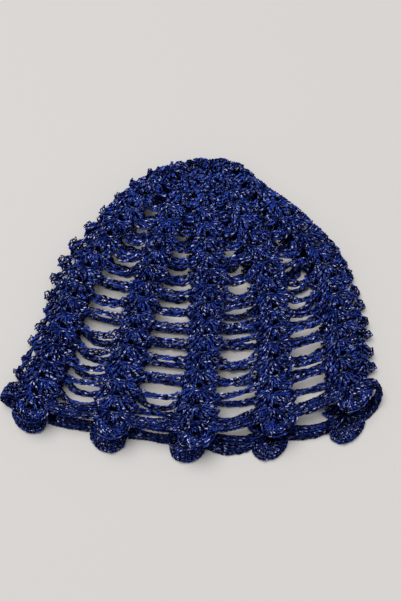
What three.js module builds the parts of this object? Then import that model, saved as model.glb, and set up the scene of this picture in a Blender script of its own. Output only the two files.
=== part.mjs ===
// A lace hat crocheted in one blue yarn with a silver thread, lying flat with its hem towards -y.
//
// It is worked from the crown outwards. The crown is closed fabric. Below it ten ribs, each a column
// of shell stitches, run down to the hem, and in each row a chain of stitches hangs from one rib to
// the next and leaves an open gap under it. The hem is a closed band between ten scallops, one under
// each rib. The hat is hollow: a front and a back lie over each other and turn over at two side folds.
//
// Units are millimetres. x runs along the hem, y from the hem to the crown, and z up from the table.
// A place on the fabric is (turn, reach): turn goes once round the hat, one unit for each rib, from
// the left fold across the front, round the right fold and back; reach is the distance from the crown.
import * as THREE from 'three';

// The fabric and how it lies
const WALL = 2.8;
const FOLD_RADIUS = 5.2; // at mid-thickness, where the fabric turns over
const FRONT_BULGE = 2.5; // the front lies this much higher in its middle than beside the folds
const BULGE_REACH = 60; // the bulge is full from this reach on
const RIB_RELIEF = 0.7; // ribs stand this far above the even front, and the chains as far below it
const CROWN_TIP_Y = 115;
const TO_MIDDLE = { x: 0.4, y: 0.2 }; // brings the middle of the outline over the origin
const GAP = 0.3; // between pieces that meet

// The crochet pattern
const RIBS = 10;
const FRONT_RIBS = RIBS / 2;
const ROW_PITCH = 12.3;
const FIRST_ROW_REACH = 23.4;
const CROWN_ROWS = 5; // rows of closed fabric
const LAST_ROW = 17; // the row whose shells are the scallops
const BAND_ROW = 16; // the hem's band is worked into the chains of this row
const CHAIN_WIDTH = 3.4;
const CHAIN_RISE = 4.5; // a chain leaves the rib this far above the middle of its row
const CHAIN_DROOP = 0.15; // depth of a hanging chain, as a share of the width that it spans
const SHELL_WAIST = 0.86; // a rib is narrower between two rows, as a share of its width at a row
const MOST_HALF_RIB = 0.36; // of the distance between the middles of two ribs
const BAND_DROP = 2.6; // the band's upper edge lies this far below those chains
const BAND_HEIGHT = 12.7; // at its ends
const SCALLOP_DEPTH = 11.5; // below the band
const SCALLOP_ROUND = 0.97; // 1 would bring the scallop's edge to nothing at its corners

// The outline as it lies: where the left and right folds are at each reach, half the width of a rib
// there, how far the front and the back have stretched towards the hem, and a sway of the front to
// the right, in turns
const OUTLINE = [
  { reach: 0, left: 14, leftY: 115, right: 14, rightY: 115, halfRib: 0, front: 0, back: 0, sway: 0 },
  { reach: 8.2, left: 2.2, leftY: 114.6, right: 26, rightY: 114.3, halfRib: 2, front: 0, back: 0, sway: 0.1 },
  { reach: 23.4, left: -21.9, leftY: 109.3, right: 38.8, rightY: 108.8, halfRib: 5.6, front: 0, back: 0.5, sway: 0.28 },
  { reach: 35.7, left: -36.5, leftY: 100.8, right: 47.6, rightY: 100, halfRib: 8.2, front: 0, back: 1.5, sway: 0.28 },
  { reach: 48, left: -48.2, leftY: 91, right: 56.8, rightY: 90.5, halfRib: 9.6, front: 0.3, back: 3, sway: 0.22 },
  { reach: 72.6, left: -66.6, leftY: 69, right: 80.6, rightY: 69, halfRib: 10.4, front: 1.2, back: 7.2, sway: 0.11 },
  { reach: 109.5, left: -91.5, leftY: 31.5, right: 110.8, rightY: 31.5, halfRib: 11, front: 3.4, back: 12, sway: 0.05 },
  { reach: 134.1, left: -100.6, leftY: 8, right: 118.8, rightY: 8, halfRib: 11.2, front: 4.2, back: 13.7, sway: 0 },
  { reach: 158.7, left: -105, leftY: -15.7, right: 122.8, rightY: -15.7, halfRib: 11.3, front: 4.8, back: 14.5, sway: -0.045 },
  { reach: 183.3, left: -111.8, leftY: -37, right: 124.2, rightY: -38, halfRib: 11.7, front: 6.3, back: 14.5, sway: -0.045 },
  { reach: 207.9, left: -122, leftY: -61, right: 125.4, rightY: -64, halfRib: 13, front: 4.4, back: 7, sway: 0 },
  { reach: 220.2, left: -128.8, leftY: -72.5, right: 128.4, rightY: -76, halfRib: 13.8, front: 2.4, back: 3.5, sway: 0.04 },
  { reach: 232.5, left: -130.5, leftY: -84.5, right: 128, rightY: -88, halfRib: 13.9, front: 1.5, back: 1.5, sway: 0 },
];

// How the ribs were laid, 1 to 5 on the front from left to right and 6 to 10 on the back from right
// to left: aside is a shift round the hat, in turns, up is a shift of the foot towards the crown,
// front and back are its shares of the two stretches, and hang is how far the hem's band droops
// between the foot and the next one
const LAY = [
  { rib: 1, aside: -0.06, up: 0.5, hang: 1, front: 0.95, back: 0 },
  { rib: 2, aside: -0.02, up: 5, hang: 1, front: 1.15, back: 0 },
  { rib: 3, aside: 0.04, up: 2.5, hang: 1, front: 0.95, back: 0 },
  { rib: 4, aside: 0.08, up: 5.2, hang: 1, front: 0.65, back: 0 },
  { rib: 5, aside: 0.06, up: 8.5, hang: 2, front: 0.9, back: 0 },
  { rib: 6, aside: 0, up: -7, hang: 2.5, front: 0, back: 1 },
  { rib: 7, aside: 0, up: -5, hang: 7, front: 0, back: 1 },
  { rib: 8, aside: 0.04, up: -2.5, hang: -2, front: 0, back: 1 },
  { rib: 9, aside: 0.05, up: -1.5, hang: 0.5, front: 0, back: 1 },
  { rib: 10, aside: 0.08, up: -4, hang: 0.5, front: 0, back: 1 },
];

const rowReach = (row) => FIRST_ROW_REACH + ROW_PITCH * (row - 1);
const chainReach = (row) => rowReach(row) - CHAIN_RISE;
const hemReach = rowReach(LAST_ROW);
const noseReach = (FOLD_RADIUS * Math.PI) / 2; // where the crown's nose has turned over the tip
const smooth = (t) => t * t * (3 - 2 * t);
const clamp01 = (t) => Math.min(1, Math.max(0, t));

// A smooth curve through one column of the outline table.
function outline(reach, column) {
  const last = OUTLINE.length - 1;
  const slope = (i) => {
    const [a, b] = [OUTLINE[Math.max(i - 1, 0)], OUTLINE[Math.min(i + 1, last)]];
    return (b[column] - a[column]) / (b.reach - a.reach);
  };
  let i = 0;
  while (i < last - 1 && OUTLINE[i + 1].reach < reach) i++;
  const [p, q] = [OUTLINE[i], OUTLINE[i + 1]];
  const span = q.reach - p.reach;
  const t = (reach - p.reach) / span;
  if (t > 1) return q[column] + slope(last) * (reach - q.reach);
  const [t2, t3] = [t * t, t * t * t];
  return (
    (2 * t3 - 3 * t2 + 1) * p[column] +
    (t3 - 2 * t2 + t) * span * slope(i) +
    (3 * t2 - 2 * t3) * q[column] +
    (t3 - t2) * span * slope(i + 1)
  );
}

// The ring of fabric at one reach, laid flat: two straight runs joined by two half-turns.
function ring(reach) {
  const radius = FOLD_RADIUS * Math.sin(Math.min(reach / FOLD_RADIUS, Math.PI / 2));
  const [left, right] = [outline(reach, 'left'), outline(reach, 'right')];
  const halfWidth = Math.max((right - left) / 2, radius);
  const straight = halfWidth - radius;
  const frontLength = 2 * straight + Math.PI * radius;
  return { radius, halfWidth, straight, frontLength, centreX: (left + right) / 2 };
}

// A column of the table of ribs, at a turn: even across a rib, and changing over the span to the next.
function lay(turn, column) {
  const even = 0.22; // to either side of a rib's middle, in turns
  const place = turn - 0.5 + RIBS;
  const k = Math.floor(place);
  const [a, b] = [LAY[k % RIBS][column], LAY[(k + 1) % RIBS][column]];
  return a + (b - a) * smooth(clamp01((place - k - even) / (1 - 2 * even)));
}

const wrap = (turn) => ((turn % RIBS) + RIBS) % RIBS;

// The point at mid-thickness of the fabric.
function middle(turnAsWorked, reachAsWorked) {
  const [frontShare, backShare] = [lay(turnAsWorked, 'front'), lay(turnAsWorked, 'back')];
  const stretch = frontShare * outline(reachAsWorked, 'front') + backShare * outline(reachAsWorked, 'back');
  const reach = reachAsWorked + stretch;
  const sway = frontShare * outline(reachAsWorked, 'sway');
  const turn = wrap(turnAsWorked + lay(turnAsWorked, 'aside') + sway);
  const { radius, halfWidth, straight, frontLength, centreX } = ring(reach);
  const onFront = turn <= FRONT_RIBS;
  const half = FRONT_RIBS / 2;
  const across = onFront ? (turn - half) / half : (FRONT_RIBS + half - turn) / half;
  const along = (Math.abs(across) * frontLength) / 2;
  const bend = radius > 0 ? Math.max(0, along - straight) / radius : 0;
  const out = Math.min(along, straight) + radius * Math.sin(bend);
  const lift = radius * Math.cos(bend);
  const share = halfWidth > 0 ? out / halfWidth : 0;

  const noseTurn = Math.min(reach / FOLD_RADIUS, Math.PI / 2);
  const pastNose = Math.max(0, reach - noseReach);
  const centreY = CROWN_TIP_Y - FOLD_RADIUS * (1 - Math.cos(noseTurn)) - pastNose;
  const foldY = outline(reach, across < 0 ? 'leftY' : 'rightY');
  const askew = lay(turnAsWorked, 'up') * (reachAsWorked / hemReach) ** 2;
  const y = centreY + (foldY - centreY) * share ** 2 + askew;

  const relief = FRONT_BULGE * (1 - share ** 2) + RIB_RELIEF * Math.cos(2 * Math.PI * (turnAsWorked - 0.5));
  const raised = onFront ? relief * (1 - share ** 4) * smooth(clamp01(reach / BULGE_REACH)) : 0;
  const z = WALL / 2 + FOLD_RADIUS + (onFront ? lift : -lift) + raised;
  return new THREE.Vector3(centreX + Math.sign(across) * out, y, z);
}

// The point at a height off mid-thickness, outwards.
function fabric(turn, reach, height) {
  if (reach === 0) return middle(0, 0).add(new THREE.Vector3(0, height, 0));
  const [dTurn, dReach] = [0.004, Math.min(0.2, reach / 2)];
  const alongTurn = middle(turn + dTurn, reach).sub(middle(turn - dTurn, reach));
  const alongReach = middle(turn, reach + dReach).sub(middle(turn, reach - dReach));
  return middle(turn, reach).addScaledVector(alongReach.cross(alongTurn).normalize(), height);
}

// A closed wall over cells of the fabric. A cell is its four corners [turn, reach]: first the edge
// nearer the crown and then the one nearer the hem, each in the direction of the turn.
function wall(cells) {
  const corners = new Map();
  const points = [];
  const triangles = [];
  const corner = ([turn, reach]) => {
    const key = reach === 0 ? 'tip' : wrap(Number(turn.toFixed(5))).toFixed(4) + ' ' + reach.toFixed(3);
    if (!corners.has(key)) {
      corners.set(key, corners.size);
      points.push(fabric(turn, reach, WALL / 2), fabric(turn, reach, -WALL / 2));
    }
    return corners.get(key);
  };
  const triangle = (a, b, c) => {
    if (a !== b && b !== c && c !== a) triangles.push(a, b, c);
  };
  const edges = new Map();
  for (const cell of cells) {
    const [a, b, d, c] = cell.map(corner);
    triangle(2 * a, 2 * d, 2 * c);
    triangle(2 * a, 2 * c, 2 * b);
    triangle(2 * a + 1, 2 * c + 1, 2 * d + 1);
    triangle(2 * a + 1, 2 * b + 1, 2 * c + 1);
    for (const [p, q] of [[a, d], [d, c], [c, b], [b, a]]) {
      if (p !== q) edges.set(p + ' ' + q, [p, q]);
    }
  }
  for (const [p, q] of edges.values()) {
    if (edges.has(q + ' ' + p)) continue;
    triangle(2 * p, 2 * p + 1, 2 * q + 1);
    triangle(2 * p, 2 * q + 1, 2 * q);
  }
  const geometry = new THREE.BufferGeometry().setFromPoints(points);
  geometry.setIndex(triangles);
  return geometry.toNonIndexed();
}

// Cells between two edges, each a list of [turn, reach] in the direction of the turn.
function strip(upper, lower) {
  return upper.slice(1).map((_, i) => [upper[i], upper[i + 1], lower[i], lower[i + 1]]);
}

const axis = (rib) => rib - 0.5;

// A length along the ring at one reach, in turns.
const turns = (length, reach) => (length * FRONT_RIBS) / ring(reach).frontLength;
const halfRib = (reach) => Math.min(MOST_HALF_RIB, turns(outline(reach, 'halfRib'), reach));

// The span between two ribs at one reach, from the rib's right edge to the next rib's left edge.
function span(rib, reach) {
  return [axis(rib) + halfRib(reach), axis(rib + 1) - halfRib(reach)];
}

function spanWidth(reach) {
  return ((1 - 2 * halfRib(reach)) * ring(reach).frontLength) / FRONT_RIBS;
}

const sag = (share) => 4 * share * (1 - share);
const overFold = (rib) => rib % FRONT_RIBS === 0; // the span right of this rib turns over a fold

// Columns across a rib, as shares of its half width, with one more on a side that bends over a fold.
function ribColumns(rib) {
  return [-1, ...(overFold(rib - 1) ? [-0.5] : []), 0, ...(overFold(rib) ? [0.5] : []), 1];
}

// An edge across a span: it starts and ends at a reach and hangs lower between, inset at each end.
function spanEdge(rib, reach, droop, startInset, endInset, steps) {
  const [from, to] = span(rib, reach);
  const [start, end] = [from + turns(startInset, reach), to - turns(endInset, reach)];
  return Array.from({ length: steps + 1 }, (_, i) => {
    const share = i / steps;
    return [start + (end - start) * share, reach + droop * sag(share)];
  });
}

const crownEdge = chainReach(CROWN_ROWS) + CHAIN_WIDTH / 2;
const hemEdge = chainReach(BAND_ROW) + BAND_DROP;
const bandEdge = hemEdge + BAND_HEIGHT;

// The crown: closed fabric over the nose and the first rows, with a lower edge that hangs between ribs.
function crown() {
  const rings = [0, noseReach / 3, (noseReach * 2) / 3, noseReach, 15, 27, 41, 55];
  const line = (reach, droop) => {
    const places = [];
    for (let rib = 1; rib <= RIBS; rib++) {
      for (const p of ribColumns(rib)) {
        places.push([axis(rib) + p * SHELL_WAIST * halfRib(reach), reach]);
      }
      places.push(...spanEdge(rib, reach, droop, 0, 0, 2).slice(1, 2));
    }
    return [...places, [places[0][0] + RIBS, reach]];
  };
  const lines = rings.map((reach) => line(reach, 0));
  lines.push(line(crownEdge, CHAIN_DROOP * spanWidth(crownEdge)));
  return wall(lines.slice(1).flatMap((lower, i) => strip(lines[i], lower)));
}

// A rib, wide at each row of shells and narrower between, with the chains that run to the next rib.
function ribWithChains(rib) {
  const levels = [{ reach: crownEdge + GAP, width: SHELL_WAIST }];
  const chains = [];
  for (let row = CROWN_ROWS + 1; row < BAND_ROW; row++) {
    const [above, below] = [chainReach(row) - CHAIN_WIDTH / 2, chainReach(row) + CHAIN_WIDTH / 2];
    levels.push({ reach: above, width: 1 }, { reach: below, width: 1 });
    levels.push({ reach: below + (ROW_PITCH - CHAIN_WIDTH) / 2, width: SHELL_WAIST });
    const droop = CHAIN_DROOP * spanWidth(above);
    const steps = overFold(rib) ? 6 : 4;
    chains.push(...strip(
      spanEdge(rib, above, droop, 0, GAP, steps),
      spanEdge(rib, below, droop, 0, GAP, steps),
    ));
  }
  levels.push({ reach: hemEdge - GAP, width: 1 });
  const lines = levels.map(({ reach, width }) =>
    ribColumns(rib).map((p) => [axis(rib) + p * width * halfRib(reach), reach]));
  return wall([...lines.slice(1).flatMap((lower, i) => strip(lines[i], lower)), ...chains]);
}

// The hem's closed band between two scallops.
function hemBand(rib) {
  const steps = overFold(rib) ? 8 : 4;
  const { hang } = LAY[rib - 1];
  const upper = spanEdge(rib, hemEdge, CHAIN_DROOP * spanWidth(hemEdge), GAP, 0, steps);
  const lower = spanEdge(rib, bandEdge, hang, GAP, 0, steps);
  const half = upper.map(([turn, reach], i) => [(turn + lower[i][0]) / 2, (reach + lower[i][1]) / 2]);
  return wall([...strip(upper, half), ...strip(half, lower)]);
}

// A scallop: the last, widest shell of a rib, with a round edge below the band.
function scallop(rib) {
  const places = [-1, -0.8, -0.4, 0, 0.4, 0.8, 1];
  const line = (reach, depth) => places.map((p) => [
    axis(rib) + p * (halfRib(reach) - (p < 0 ? turns(GAP, reach) : 0)),
    reach + depth * Math.sqrt(1 - (SCALLOP_ROUND * p) ** 2),
  ]);
  const lines = [line(hemEdge, 0), line((hemEdge + bandEdge) / 2, 0), line(bandEdge, 0)];
  lines.push(line(bandEdge, SCALLOP_DEPTH));
  return wall(lines.slice(1).flatMap((lower, i) => strip(lines[i], lower)));
}

const yarn = (colour) =>
  new THREE.MeshStandardMaterial({ color: colour, roughness: 0.5, metalness: 0.15 });
const crownYarn = yarn(0x1d2c86);
const ribYarn = yarn(0x1b2a80);
const hemYarn = yarn(0x20338f);

const hat = new THREE.Group();
hat.name = 'lace_hat';
hat.position.set(TO_MIDDLE.x, TO_MIDDLE.y, 0);

function addPiece(parent, name, geometry, material) {
  geometry.computeVertexNormals();
  const piece = new THREE.Mesh(geometry, material);
  piece.name = name;
  parent.add(piece);
}

const number = (rib) => String(rib).padStart(2, '0');
const ribs = new THREE.Group();
const hem = new THREE.Group();
hat.add(ribs, hem);
addPiece(hat, 'crown', crown(), crownYarn);
for (let rib = 1; rib <= RIBS; rib++) {
  addPiece(ribs, 'rib_' + number(rib), ribWithChains(rib), ribYarn);
  addPiece(hem, 'hem_band_' + number(rib), hemBand(rib), hemYarn);
  addPiece(hem, 'scallop_' + number(rib), scallop(rib), hemYarn);
}

export default hat;
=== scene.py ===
# A lace hat crocheted in one blue yarn with a silver thread, lying flat with its crown away from the
# camera. The solids say where the fabric lies; here the fabric becomes its stitches, each one a loop
# of yarn on the path that it takes in the real hat.
import math
import bpy
import numpy as np
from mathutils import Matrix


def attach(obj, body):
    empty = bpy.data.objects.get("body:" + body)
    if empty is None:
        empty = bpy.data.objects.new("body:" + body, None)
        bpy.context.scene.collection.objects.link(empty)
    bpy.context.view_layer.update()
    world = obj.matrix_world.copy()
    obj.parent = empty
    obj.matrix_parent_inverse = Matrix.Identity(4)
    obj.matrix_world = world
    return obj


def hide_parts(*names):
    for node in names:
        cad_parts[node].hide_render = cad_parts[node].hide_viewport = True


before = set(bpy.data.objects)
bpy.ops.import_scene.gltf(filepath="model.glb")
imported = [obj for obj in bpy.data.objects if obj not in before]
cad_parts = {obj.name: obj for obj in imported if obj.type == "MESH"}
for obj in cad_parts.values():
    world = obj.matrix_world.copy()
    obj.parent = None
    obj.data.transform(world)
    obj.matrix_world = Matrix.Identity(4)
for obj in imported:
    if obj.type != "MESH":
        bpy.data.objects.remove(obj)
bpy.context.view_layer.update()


# The floor is a plain pale board. Soft light comes from a wide window behind and to the left, and from
# all round. The camera looks down at the angle of the photograph, from close by.
MM = 0.001
FLOOR_COLOUR = (0.66, 0.645, 0.63)
FLOOR_ROUGHNESS = 0.65
FLOOR_SIZE = 6
LOOKED_AT = (0.0064, -0.0050, 0.008)
CAMERA_ELEVATION = math.radians(68)
CAMERA_DISTANCE = 0.45
CAMERA_LENS = 37.4
CAMERA_SEES_FROM = 0.01
SENSOR = 36
ROOM_COLOUR = (0.95, 0.97, 1.0)
ROOM_LIGHT = 0.36
WINDOW_COLOUR = (1.0, 0.98, 0.955)
WINDOW_LIGHT = 2.35
WINDOW_WIDTH = math.radians(50)
WINDOW_TILT = (math.radians(-20), math.radians(-15), 0)

bpy.ops.object.select_all(action="DESELECT")
bpy.ops.mesh.primitive_plane_add(size=FLOOR_SIZE, location=(0, 0, 0))
floor = bpy.context.object
floor.name = "floor"
floor_finish = bpy.data.materials.new("floor_board")
floor_finish.use_nodes = True
board = floor_finish.node_tree.nodes["Principled BSDF"]
board.inputs["Base Color"].default_value = (*FLOOR_COLOUR, 1)
board.inputs["Roughness"].default_value = FLOOR_ROUGHNESS
floor.data.materials.append(floor_finish)

camera_data = bpy.data.cameras.new("camera")
camera_data.lens = CAMERA_LENS
camera_data.sensor_width = SENSOR
camera_data.clip_start = CAMERA_SEES_FROM
camera = bpy.data.objects.new("camera", camera_data)
bpy.context.collection.objects.link(camera)
camera.location = (
    LOOKED_AT[0],
    LOOKED_AT[1] - CAMERA_DISTANCE * math.cos(CAMERA_ELEVATION),
    LOOKED_AT[2] + CAMERA_DISTANCE * math.sin(CAMERA_ELEVATION),
)
camera.rotation_euler = (math.pi / 2 - CAMERA_ELEVATION, 0, 0)
bpy.context.scene.camera = camera
bpy.context.scene.view_settings.view_transform = "Standard"

world = bpy.data.worlds.new("room")
world.use_nodes = True
world.node_tree.nodes["Background"].inputs["Color"].default_value = (*ROOM_COLOUR, 1)
world.node_tree.nodes["Background"].inputs["Strength"].default_value = ROOM_LIGHT
bpy.context.scene.world = world

window = bpy.data.lights.new("window", "SUN")
window.energy = WINDOW_LIGHT
window.angle = WINDOW_WIDTH
window.color = WINDOW_COLOUR
window_lamp = bpy.data.objects.new("window", window)
window_lamp.rotation_euler = WINDOW_TILT
bpy.context.collection.objects.link(window_lamp)


# The fabric as it lies, two layers with a fold at each side. A place on it is (turn, reach): turn goes
# once round the hat, one unit for each rib, from the left fold across the front, round the right fold
# and back; reach is the distance from the crown's tip. The sizes are the solids', in millimetres.
WALL = 2.8
FOLD_RADIUS = 5.2
FRONT_BULGE = 2.5
BULGE_REACH = 60
RIB_RELIEF = 0.7
CROWN_TIP_Y = 115
TO_MIDDLE = (0.4, 0.2)
RIBS = 10
FRONT_RIBS = RIBS / 2
ROW_PITCH = 12.3
FIRST_ROW_REACH = 23.4
LAST_ROW = 17
BAND_ROW = 16
NOSE_REACH = FOLD_RADIUS * math.pi / 2
HEM_REACH = FIRST_ROW_REACH + ROW_PITCH * (LAST_ROW - 1)

OUTLINE_COLUMNS = (
    "reach", "left", "left_y", "right", "right_y", "half_rib", "front", "back", "sway",
)
OUTLINE_ROWS = (
    (0, 14, 115, 14, 115, 0, 0, 0, 0),
    (8.2, 2.2, 114.6, 26, 114.3, 2, 0, 0, 0.1),
    (23.4, -21.9, 109.3, 38.8, 108.8, 5.6, 0, 0.5, 0.28),
    (35.7, -36.5, 100.8, 47.6, 100, 8.2, 0, 1.5, 0.28),
    (48, -48.2, 91, 56.8, 90.5, 9.6, 0.3, 3, 0.22),
    (72.6, -66.6, 69, 80.6, 69, 10.4, 1.2, 7.2, 0.11),
    (109.5, -91.5, 31.5, 110.8, 31.5, 11, 3.4, 12, 0.05),
    (134.1, -100.6, 8, 118.8, 8, 11.2, 4.2, 13.7, 0),
    (158.7, -105, -15.7, 122.8, -15.7, 11.3, 4.8, 14.5, -0.045),
    (183.3, -111.8, -37, 124.2, -38, 11.7, 6.3, 14.5, -0.045),
    (207.9, -122, -61, 125.4, -64, 13, 4.4, 7, 0),
    (220.2, -128.8, -72.5, 128.4, -76, 13.8, 2.4, 3.5, 0.04),
    (232.5, -130.5, -84.5, 128, -88, 13.9, 1.5, 1.5, 0),
)
OUTLINE = dict(zip(OUTLINE_COLUMNS, np.array(OUTLINE_ROWS, float).T))

# How each rib was laid down, in order from rib 1: its shift round the hat, its foot's shift towards the
# crown, the droop of its hem band, and its share of how far the front and the back have stretched.
LAY = {
    "aside": (-0.06, -0.02, 0.04, 0.08, 0.06, 0, 0, 0.04, 0.05, 0.08),
    "up": (0.5, 5, 2.5, 5.2, 8.5, -7, -5, -2.5, -1.5, -4),
    "hang": (1, 1, 1, 1, 2, 2.5, 7, -2, 0.5, 0.5),
    "front": (0.95, 1.15, 0.95, 0.65, 0.9, 0, 0, 0, 0, 0),
    "back": (0, 0, 0, 0, 0, 1, 1, 1, 1, 1),
}


def outline(reach, column):
    at, value = OUTLINE["reach"], OUTLINE[column]
    last = len(at) - 1
    below, above = np.maximum(np.arange(last + 1) - 1, 0), np.minimum(np.arange(last + 1) + 1, last)
    slope = (value[above] - value[below]) / (at[above] - at[below])
    i = np.clip(np.searchsorted(at, reach) - 1, 0, last - 1)
    span = at[i + 1] - at[i]
    t = (reach - at[i]) / span
    t2, t3 = t**2, t**3
    inside = (
        (2 * t3 - 3 * t2 + 1) * value[i]
        + (t3 - 2 * t2 + t) * span * slope[i]
        + (3 * t2 - 2 * t3) * value[i + 1]
        + (t3 - t2) * span * slope[i + 1]
    )
    return np.where(t > 1, value[last] + slope[last] * (reach - at[last]), inside)


def smooth(t):
    t = np.clip(t, 0, 1)
    return t * t * (3 - 2 * t)


EVEN_SHARE = 0.22


def lay(turn, column):
    place = turn - 0.5 + RIBS
    k = np.floor(place).astype(int)
    values = np.array(LAY[column], float)
    a, b = values[k % RIBS], values[(k + 1) % RIBS]
    return a + (b - a) * smooth((place - k - EVEN_SHARE) / (1 - 2 * EVEN_SHARE))


def ring(reach):
    radius = FOLD_RADIUS * np.sin(np.minimum(reach / FOLD_RADIUS, math.pi / 2))
    left, right = outline(reach, "left"), outline(reach, "right")
    half_width = np.maximum((right - left) / 2, radius)
    straight = half_width - radius
    return radius, half_width, straight, 2 * straight + math.pi * radius, (left + right) / 2


def middle(turn, worked_reach):
    front_share, back_share = lay(turn, "front"), lay(turn, "back")
    stretch = front_share * outline(worked_reach, "front") + back_share * outline(worked_reach, "back")
    reach = worked_reach + stretch
    sway = front_share * outline(worked_reach, "sway")
    laid = (turn + lay(turn, "aside") + sway) % RIBS
    radius, half_width, straight, front_length, centre_x = ring(reach)
    front = laid <= FRONT_RIBS
    half = FRONT_RIBS / 2
    across = np.where(front, (laid - half) / half, (FRONT_RIBS + half - laid) / half)
    along = np.abs(across) * front_length / 2
    bend = np.maximum(0, along - straight) / radius
    out = np.minimum(along, straight) + radius * np.sin(bend)
    lift = radius * np.cos(bend)
    share = out / half_width
    nose_turn = np.minimum(reach / FOLD_RADIUS, math.pi / 2)
    past_nose = np.maximum(0, reach - NOSE_REACH)
    centre_y = CROWN_TIP_Y - FOLD_RADIUS * (1 - np.cos(nose_turn)) - past_nose
    fold_y = np.where(across < 0, outline(reach, "left_y"), outline(reach, "right_y"))
    y = centre_y + (fold_y - centre_y) * share**2 + lay(turn, "up") * (worked_reach / HEM_REACH) ** 2
    relief = FRONT_BULGE * (1 - share**2) + RIB_RELIEF * np.cos(2 * math.pi * (turn - 0.5))
    raised = np.where(front, relief * (1 - share**4) * smooth(reach / BULGE_REACH), 0)
    z = WALL / 2 + FOLD_RADIUS + np.where(front, lift, -lift) + raised
    x = centre_x + np.sign(across) * out
    return np.stack([x + TO_MIDDLE[0], y + TO_MIDDLE[1], z], -1)


NEXT_TURN = 0.004
NEXT_REACH = 0.2


def fabric(turn, reach, height):
    turn, reach, height = np.broadcast_arrays(turn, reach, height)
    reach = np.maximum(reach, NEXT_REACH)
    d_reach = np.minimum(NEXT_REACH, reach / 2)
    along_turn = middle(turn + NEXT_TURN, reach) - middle(turn - NEXT_TURN, reach)
    along_reach = middle(turn, reach + d_reach) - middle(turn, reach - d_reach)
    outwards = np.cross(along_reach, along_turn)
    outwards /= np.linalg.norm(outwards, axis=-1, keepdims=True)
    return middle(turn, reach) + outwards * height[..., None]


def turn_length(reach):
    return ring(np.asarray(reach, float))[3] / FRONT_RIBS


def row_reach(row):
    return FIRST_ROW_REACH + ROW_PITCH * (row - 1)


WIDEST_HALF_RIB = 0.36


def half_rib(reach):
    return float(min(WIDEST_HALF_RIB * turn_length(reach), outline(np.asarray(reach, float), "half_rib")))


# The yarn is about a millimetre thick, plied from blue strands and a flat silver thread that catches the
# light in short dashes. The dashes are painted into the colour, partly the thread's own pale colour and
# partly painted glints, dull or bright at random. A stitch is a path of yarn, and each path gets a closed
# skin. What rests on the board is pressed flat there.
YARN_RADIUS = 0.57
YARN_SIDES = 4
NEARLY_UPRIGHT = 0.9
LEAST_LENGTH = 1e-9


def skin(paths, radius):
    count, steps, _ = paths.shape
    along = np.gradient(paths, axis=1)
    along /= np.maximum(np.linalg.norm(along, axis=-1, keepdims=True), LEAST_LENGTH)
    first = np.where(np.abs(along[:, 0, 2:3]) < NEARLY_UPRIGHT, [[0, 0, 1.0]], [[1.0, 0, 0]])
    side = np.empty_like(paths)
    carried = first
    for i in range(steps):
        carried = carried - np.sum(carried * along[:, i], -1, keepdims=True) * along[:, i]
        carried = carried / np.maximum(np.linalg.norm(carried, axis=-1, keepdims=True), LEAST_LENGTH)
        side[:, i] = carried
    other = np.cross(along, side)
    angle = 2 * math.pi * np.arange(YARN_SIDES) / YARN_SIDES
    radius = np.broadcast_to(np.asarray(radius, float), (count, steps))[..., None, None]
    round_ = np.cos(angle)[:, None] * side[:, :, None] + np.sin(angle)[:, None] * other[:, :, None]
    points = paths[:, :, None] + radius * round_
    points[..., 2] = np.maximum(points[..., 2], 0)
    return points


def strand_faces(count, steps):
    k = YARN_SIDES
    start = (np.arange(count) * steps * k)[:, None, None]
    ring_start = start + (np.arange(steps - 1) * k)[None, :, None]
    j = np.arange(k)
    after = (j + 1) % k
    quads = np.stack([ring_start + j, ring_start + after, ring_start + k + after, ring_start + k + j], -1)
    ends = np.concatenate([start[:, 0] + j[::-1], start[:, 0] + (steps - 1) * k + j])
    return quads.reshape(-1, 4), ends


# A bundle is its paths of yarn, the radius of the yarn and how much light gets to it, which is painted into
# its colour: below 1 as painted shade, above 1 as a painted highlight. Each path is cut from its own place
# along a long ball of yarn.
BALL_LENGTH = 400


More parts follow.
